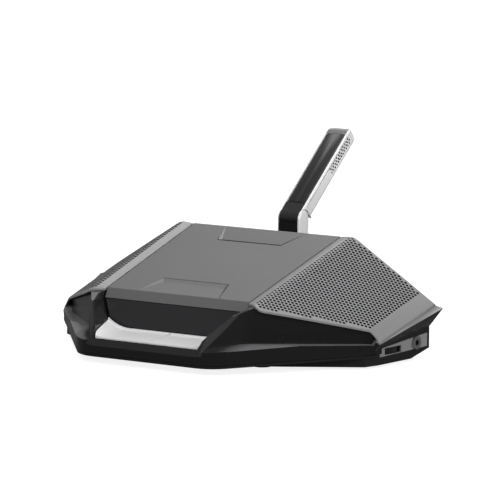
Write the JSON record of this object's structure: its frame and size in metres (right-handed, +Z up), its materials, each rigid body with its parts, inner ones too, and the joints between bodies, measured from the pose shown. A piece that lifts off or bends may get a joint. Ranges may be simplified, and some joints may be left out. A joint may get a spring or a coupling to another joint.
{
  "type": "conference delegate unit",
  "caption": "Desk unit with a sloping top plate between two perforated loudspeaker grilles, tray-shaped buttons in a finger recess, side ports and a tilting plug-in microphone.",
  "frame": {"origin": "middle of the bounding box on the table, under the unit with its microphone leaning back as pictured", "axes": "+X to the user's right, +Y to the back, +Z up; the user sits at the -Y side"},
  "size_m": [0.2594, 0.2346, 0.1289],
  "materials": {
    "dark_housing": "fine satin, almost black",
    "grey_lacquer": "satin grey lacquer",
    "grille_lacquer": "satin grey lacquer on perforated sheet",
    "dark_gloss": "polished dark panel",
    "light_button": "light silver white",
    "silver": "bright silver lacquer",
    "steel": "plain steel",
    "rubber": "matt black rubber",
    "board": "green circuit board",
    "cone": "black paper cone"
  },
  "bodies": {
    "unit": {"base_pan": "dark_housing", "button_board": "board", "button_switch_left": "dark_housing", "button_switch_right": "dark_housing", "foot_front_left": "rubber", "foot_front_right": "rubber", "foot_rear_left": "rubber", "foot_rear_right": "rubber", "grille_left": "grille_lacquer", "grille_right": "grille_lacquer", "headphone_socket_left": "steel", "headphone_socket_right": "steel", "main_board": "board", "mic_socket": "dark_housing", "network_socket_left": "dark_housing", "network_socket_right": "dark_housing", "port_panel_left": "grey_lacquer", "port_panel_right": "grey_lacquer", "recess_panel": "dark_gloss", "screw_front_left": "steel", "screw_front_right": "steel", "screw_rear_left": "steel", "screw_rear_right": "steel", "speaker_left": "cone", "speaker_magnet_left": "steel", "speaker_magnet_right": "steel", "speaker_right": "cone", "top_plate": "grey_lacquer", "upper_housing": "dark_housing", "volume_control_left": "steel", "volume_control_right": "steel"},
    "mic_button_left": {"mic_button_left": "light_button"},
    "mic_button_right": {"mic_button_right": "light_button"},
    "volume_wheel_left": {"volume_wheel_left": "dark_housing"},
    "volume_wheel_right": {"volume_wheel_right": "dark_housing"},
    "mic_stand": {"mic_foot": "silver", "mic_foot_cover": "dark_housing", "mic_hinge_pin": "steel"},
    "mic_head": {"mic_shell": "silver", "mic_front_cover": "dark_housing", "mic_cap": "silver", "mic_knuckle": "dark_housing", "mic_board": "board", "mic_capsule_upper": "steel", "mic_capsule_lower": "steel"}
  },
  "joints": [
    {"name": "mic_button_left_press", "type": "slide", "parent": "unit", "child": "mic_button_left", "axis": [0, 0, -1], "range_m": [0, 0.0009], "stiffness_N_per_m": 800, "springref_m": -0.0005},
    {"name": "volume_wheel_left_turn", "type": "hinge", "parent": "unit", "child": "volume_wheel_left", "pos_m": [-0.10772, -0.01365, 0.0093], "axis": [0, 0, 1], "range_deg": [-135, 135]},
    {"name": "mic_button_right_press", "type": "slide", "parent": "unit", "child": "mic_button_right", "axis": [0, 0, -1], "range_m": [0, 0.0009], "stiffness_N_per_m": 800, "springref_m": -0.0005},
    {"name": "volume_wheel_right_turn", "type": "hinge", "parent": "unit", "child": "volume_wheel_right", "pos_m": [0.10772, -0.01365, 0.0093], "axis": [0, 0, 1], "range_deg": [-135, 135]},
    {"name": "mic_unplug", "type": "slide", "parent": "unit", "child": "mic_stand", "axis": [0, 1, 0], "range_m": [0, 0.012]},
    {"name": "mic_tilt", "type": "hinge", "parent": "mic_stand", "child": "mic_head", "pos_m": [0, 0.05357, 0.0748], "axis": [-1, 0, 0], "range_deg": [-50.4, 39.6]}
  ]
}
